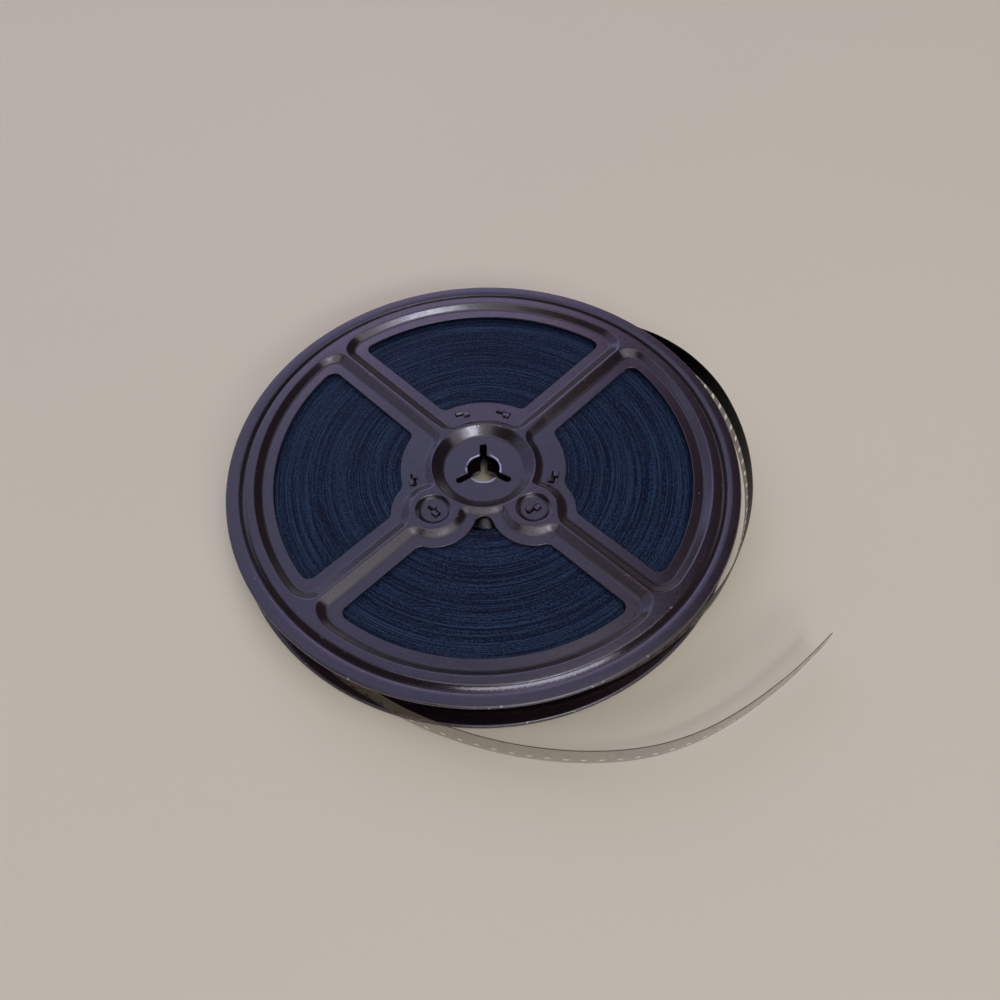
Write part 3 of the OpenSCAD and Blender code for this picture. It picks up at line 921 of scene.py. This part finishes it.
def addWoundFilm(film, edges, face):
    rng = np.random.default_rng(film["seed"])
    turns, steps, knots, tongueSteps = (film[k] for k in ("turns", "steps", "knots", "tongueSteps"))
    pitch = (film["outerR"] - film["innerR"]) / (turns + film["fill"])
    thick = film["fill"] * pitch
    t = np.arange(turns * steps + 1) / steps
    spare = turns + 2
    rise = rng.normal(0, 1, (spare, knots))
    group = rng.normal(0, 1, (spare, 1))
    for _ in range(2):
        group = (np.roll(group, 1, 0) + 2 * group + np.roll(group, -1, 0)) / 4
    strays = (rng.random((spare, 1)) < film["strays"]) * rng.uniform(*film["strayBy"], (spare, 1))

    def alongStrip(middle, byKnot, byGroup, byStray):  # run on from turn to turn
        level = middle + byKnot * rise + byGroup * group + byStray * strays
        values = np.interp(t * knots, np.arange(spare * knots), level.ravel())
        return np.concatenate((np.full(tongueSteps, values[0]), values))

    shift = np.clip(alongStrip(*film["shifts"]), -film["mostShift"], film["mostShift"])
    tone = alongStrip(*film["tones"])
    lead = np.arange(tongueSteps, 0, -1) / tongueSteps
    fall = lead * lead * (3 - 2 * lead)
    inner = np.concatenate((film["innerR"] - film["tongueDrop"] * fall, film["innerR"] + pitch * t))
    angle = np.concatenate((np.radians(film["startAt"] - film["tongue"] * lead),
                            np.radians(film["startAt"]) + t * math.tau))
    ring = np.stack((np.cos(angle), np.sin(angle)), 1)
    outer, low = inner + thick, film["bottom"] + shift
    high = low + film["width"]
    section = ((inner, low), (outer, low), (outer, high), (inner, high))
    points = np.stack([np.column_stack((ring * r[:, None], z)) for r, z in section], 1).reshape(-1, 3)
    total = len(inner)
    base = 4 * np.arange(total - 1)[:, None]
    quads = [base + np.array((a, a + 4, b + 4, b)) for a, b in ((0, 1), (1, 2), (2, 3), (3, 0))]
    caps = [[0, 1, 2, 3], [4 * total - k for k in (1, 2, 3, 4)]]
    faces = np.concatenate(quads).tolist() + caps
    piece = newPiece("woundFilm", points, faces, edges, face)
    faceOutwards(piece)
    piece.data.set_sharp_from_angle(angle=math.radians(film["sharp"]))
    slots = np.repeat((0, 1, 0, 1), total - 1).tolist() + [1, 1]
    piece.data.polygons.foreach_set("material_index", slots)
    setValues(piece, "tone", np.repeat(tone, 4))
    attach(piece, "reel")
    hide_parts("film_roll")
    print("wound film:", turns, "turns,", len(faces), "faces")


def woundEdgeFinish(film):
    material, shader, start = newFinish("woundFilmEdges")
    place = start.place()
    x, y, _ = place.parts()
    r = (x * x + y * y) ** 0.5
    around = start.maths("ARCTAN2", y, x)
    arcs = start.joined(r * 3000, around * 1.6).noise(1.0, 4, 0.65)  # short runs painted lighter as glints, which also roughen and bump the edges
    broad, grit = place.noise(55, 2), place.noise(2300, 2)
    # painted highlight: some turns and short runs get the lighter edge colour, standing in for glints on the
    # film edges
    lit = (start.attribute("tone") * 0.3 + arcs + (grit - 0.5)).between(0.50, 0.86)
    # small pale specks on the edges
    paleSpecks = place.noise(1700, 1).between(0.74, 0.80)
    start.feed(shader, {
        "Base Color": (paleSpecks * 0.5).tint(lit.tint(*film["edges"]), film["paleSpecks"]),
        "Roughness": 0.34 + 0.25 * arcs + 0.08 * broad,
        "Normal": start.bump(arcs + 0.5 * grit, 0.035 * mm, 0.7),
        "Specular IOR Level": 0.15,
    })
    return material


def woundFaceFinish(film):
    material, shader, start = newFinish("woundFilmFace")
    place = start.place()
    x, y, z = place.parts()
    around = start.maths("ARCTAN2", y, x)
    scratches = start.joined(around * 3, z * 9000).noise(1.0, 3)
    grain = place.noise(700, 3)
    above, below = film["margin"]
    colour = z.between(above * mm, below * mm).tint(*film["face"])
    start.feed(shader, {
        "Base Color": (0.3 * grain).tint(colour, film["faceGrain"]),
        "Roughness": 0.18 + 0.22 * scratches,
        "Normal": start.bump(scratches, 0.01 * mm, 0.5),
        "Specular IOR Level": 0.15,
    })
    return material


addWoundFilm(woundFilm, woundEdgeFinish(woundFilm), woundFaceFinish(woundFilm))


studio = {  # floor, lamps and backdrop, in metres
    "floor": (0.87, 0.81, 0.55, 1),
    "shade": 0.96,  # of the floor's darker patches
    "half": 1.8,
    "horizon": (0.52, 0.52, 0.56, 1),
    "sky": (0.04, 0.042, 0.05, 1),
    "skyline": (0.04, 0.26),  # heights at which the one starts to turn into the other, and has turned
    "lamps": [  # name, direction from the reel, distance, width and height, power, colour
        ("overhead", (0.215, -0.40, 0.89), 2.2, (0.50, 0.24), 4.5, (0.80, 0.82, 1.0)),
        ("tail", (0.37, -0.31, 0.875), 2.2, (0.36, 0.44), 1.5, (0.76, 0.70, 1.0)),
        ("top", (0.15, -0.15, 0.977), 2.2, (2.0, 2.0), 14.0, (0.95, 0.90, 1.0)),
        ("window", (-0.23, 0.68, 0.696), 2.4, (1.6, 2.35), 10.5, (0.56, 0.58, 1.0)),
        ("windowFoot", (-0.03, 0.776, 0.629), 2.4, (1.45, 0.76), 2.6, (0.80, 0.55, 1.0)),
        ("side", (-0.72, 0.56, 0.42), 2.6, (1.9, 1.7), 6.0, (0.58, 0.57, 1.0)),
        ("left", (-0.60, 0.16, 0.78), 2.4, (1.1, 1.1), 2.0, (0.70, 0.68, 1.0)),
        ("front", (0.26, -0.80, 0.54), 2.4, (2.1, 0.5), 18.0, (0.80, 0.78, 1.0)),
    ],
}


def addFloor():
    half, pale = studio["half"], studio["floor"]
    mesh = bpy.data.meshes.new("floor")
    corners = [(x * half, y * half, 0) for x, y in ((-1, -1), (1, -1), (1, 1), (-1, 1))]
    mesh.from_pydata(corners, [], [(0, 1, 2, 3)])
    floor = bpy.data.objects.new("floor", mesh)
    scene.collection.objects.link(floor)
    material, shader, start = newFinish("floorPaint")
    darker = tuple(studio["shade"] * c for c in pale[:3]) + (1,)
    start.feed(shader, {"Base Color": start.place().noise(6, 2).tint(pale, darker), "Roughness": 0.75})
    mesh.materials.append(material)


def addLamps():
    for name, way, distance, size, power, colour in studio["lamps"]:
        light = bpy.data.lights.new(name, "AREA")
        light.shape, light.size, light.size_y = "RECTANGLE", *size
        light.energy, light.color = power, colour
        lamp = bpy.data.objects.new(name, light)
        spot = Vector(way).normalized()
        lamp.location = spot * distance
        lamp.rotation_mode = "QUATERNION"
        lamp.rotation_quaternion = spot.to_track_quat("Z", "Y")
        lamp.visible_camera = False
        scene.collection.objects.link(lamp)


def addWorld():  # pale towards the horizon, darker above
    world = bpy.data.worlds.new("studio")
    world.use_nodes = True
    scene.world = world
    start = Wire(world.node_tree)
    height = start.add("TexCoord", {}, {}).parts()[2]
    colour = height.between(*studio["skyline"]).tint(studio["horizon"], studio["sky"])
    start.feed(world.node_tree.nodes["Background"], {"Color": colour})


addFloor()
addLamps()
addWorld()
print("floor and lamps set")
